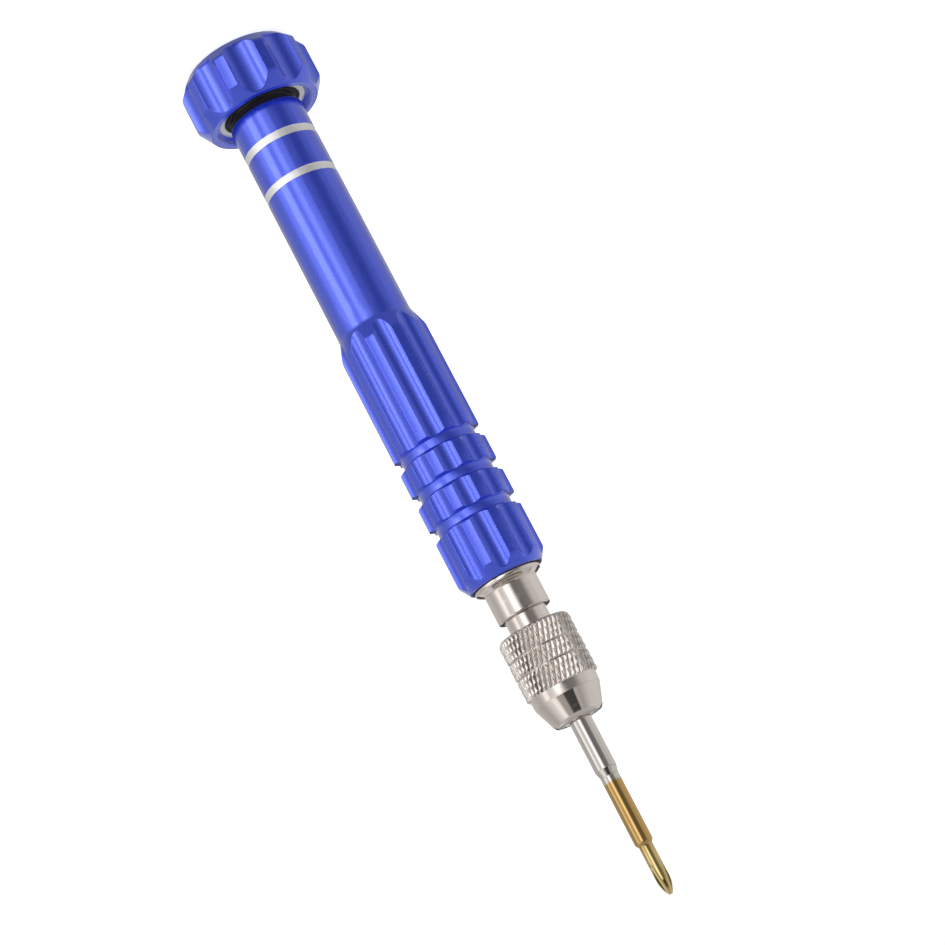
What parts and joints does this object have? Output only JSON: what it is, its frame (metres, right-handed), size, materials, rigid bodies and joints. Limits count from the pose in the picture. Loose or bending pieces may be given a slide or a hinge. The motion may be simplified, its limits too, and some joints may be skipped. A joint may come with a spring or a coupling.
{
  "type": "watchmaker screwdriver",
  "caption": "Slim precision screwdriver with a free-turning fluted finger cap, hollow grooved barrel, knurled collet chuck and cross-point bit.",
  "frame": {"origin": "centre of the finger cap's flat rear face, on which the tool stands", "axes": "+Z along the tool's axis, from the cap to the tip of the bit; +X through a land of the cap and the grip"},
  "size_m": [0.0186, 0.018, 0.1264],
  "materials": {
    "anodised_blue": "satin blue anodised",
    "nickel_plate": "bright nickel plate",
    "blackened_steel": "blackened, with a satin sheen",
    "bit_steel": "nickel shank and gold-coloured hard coating",
    "spring_steel": "ground",
    "bearing_steel": "ground and polished",
    "cage_brass": "pressed sheet",
    "black_rubber": "matt"
  },
  "bodies": {
    "plug": {"tail_plug": "blackened_steel", "plug_o_ring": "black_rubber", "bearing_inner_race": "bearing_steel", "bearing_washer": "cage_brass", "bearing_screw": "spring_steel"},
    "cap": {"cap": "anodised_blue", "bearing_outer_race": "bearing_steel", "bearing_seal_rear": "black_rubber", "bearing_seal_front": "black_rubber"},
    "cage": {"bearing_cage": "cage_brass", "bearing_balls": "bearing_steel"},
    "handle": {"barrel": "anodised_blue", "flange_washer": "black_rubber", "chuck_body": "nickel_plate", "spare_bit_slotted": "bit_steel", "spare_bit_hex": "bit_steel", "spare_bit_square": "bit_steel", "spare_bit_tri_wing": "bit_steel"},
    "collet": {"collet": "spring_steel"},
    "nut": {"chuck_nut": "nickel_plate"},
    "bit": {"bit": "bit_steel"}
  },
  "joints": [
    {"name": "cap_spin", "type": "hinge", "parent": "plug", "child": "cap", "pos_m": [0, 0, 0.0058], "axis": [0, 0, 1], "continuous": true},
    {"name": "cage_spin", "type": "hinge", "parent": "plug", "child": "cage", "pos_m": [0, 0, 0.0058], "axis": [0, 0, 1], "continuous": true},
    {"name": "handle_slide", "type": "slide", "parent": "plug", "child": "handle", "axis": [0, 0, 1], "range_m": [0, 0.012]},
    {"name": "collet_slide", "type": "slide", "parent": "handle", "child": "collet", "axis": [0, 0, 1], "range_m": [0, 0.001]},
    {"name": "nut_turn", "type": "hinge", "parent": "collet", "child": "nut", "pos_m": [0, 0, 0.095], "axis": [0, 0, 1], "range_deg": [0, 720]},
    {"name": "bit_slide", "type": "slide", "parent": "handle", "child": "bit", "axis": [0, 0, 1], "range_m": [0, 0.016]}
  ],
  "couplings": [
    {"joint": "cage_spin", "follows": "cap_spin", "ratio": 0.575},
    {"joint": "nut_turn", "follows": "collet_slide", "rad_per_m": 12566}
  ]
}
